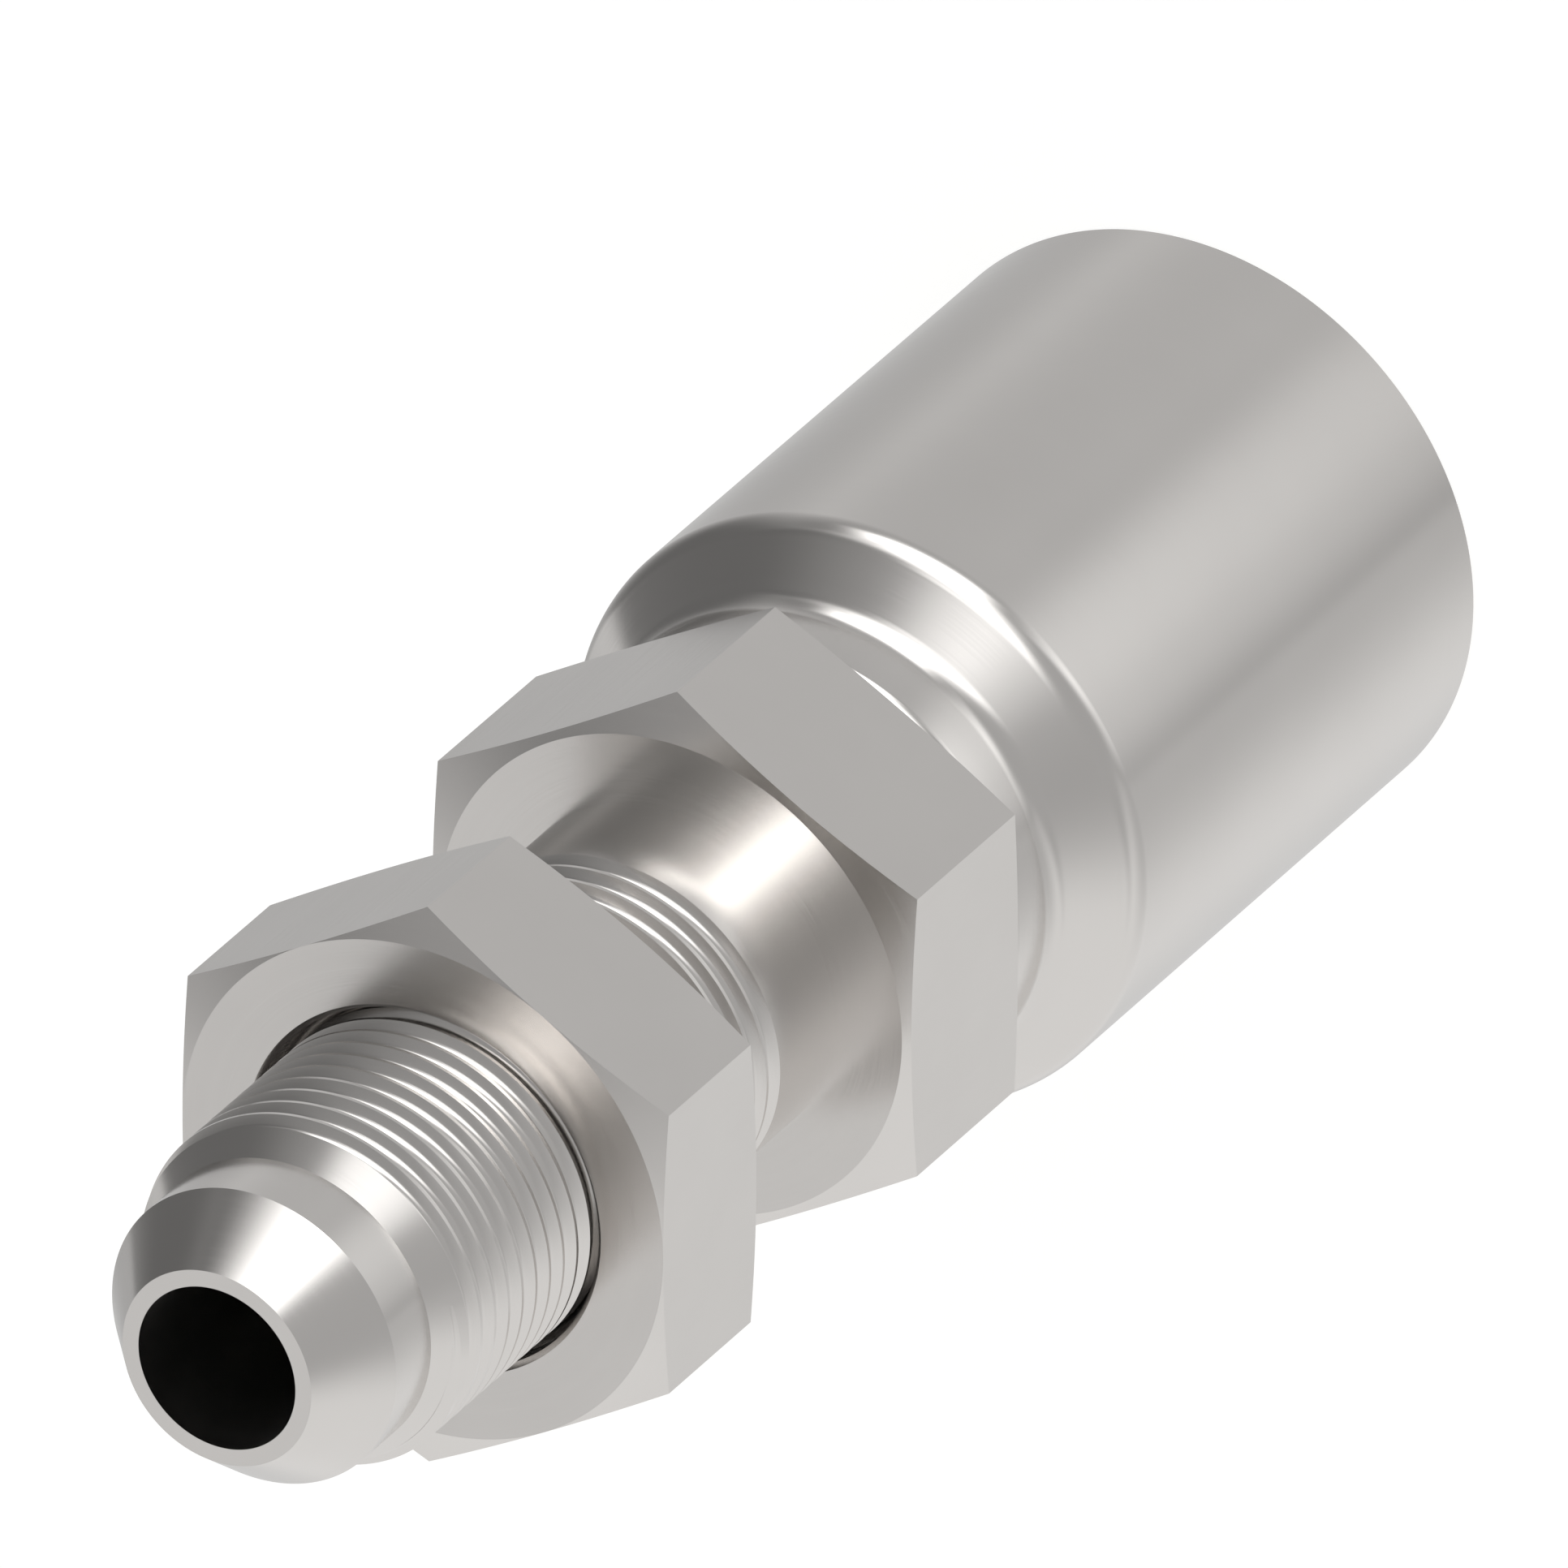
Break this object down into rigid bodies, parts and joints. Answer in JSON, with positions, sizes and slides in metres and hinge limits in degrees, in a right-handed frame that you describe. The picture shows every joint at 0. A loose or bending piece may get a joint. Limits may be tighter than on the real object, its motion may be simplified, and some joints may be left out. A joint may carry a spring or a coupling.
{
  "type": "crimp hose fitting",
  "caption": "Straight bulkhead crimp hose fitting: flare nose, male thread with locknut, wrench hex, and a ridged ferrule round a barbed tail.",
  "frame": {"origin": "centre of the ferrule's open end, the flat ring on which the fitting stands", "axes": "+Z along the fitting's axis towards the flare nose; +Y through a corner of both hexes"},
  "size_m": [0.0246, 0.0246, 0.0727],
  "materials": {
    "body_steel": "turned steel, zinc-nickel plated, satin",
    "nut_steel": "machined hex steel, zinc-nickel plated, satin",
    "ferrule_steel": "turned soft steel, zinc-nickel plated, satin"
  },
  "bodies": {
    "fitting": {"fitting_body": "body_steel", "ferrule": "ferrule_steel"},
    "nut": {"locknut": "nut_steel"}
  },
  "joints": [
    {"name": "locknut_travel", "type": "slide", "parent": "fitting", "child": "nut", "axis": [0, 0, 1], "range_m": [-0.00704, 0.02314]}
  ]
}
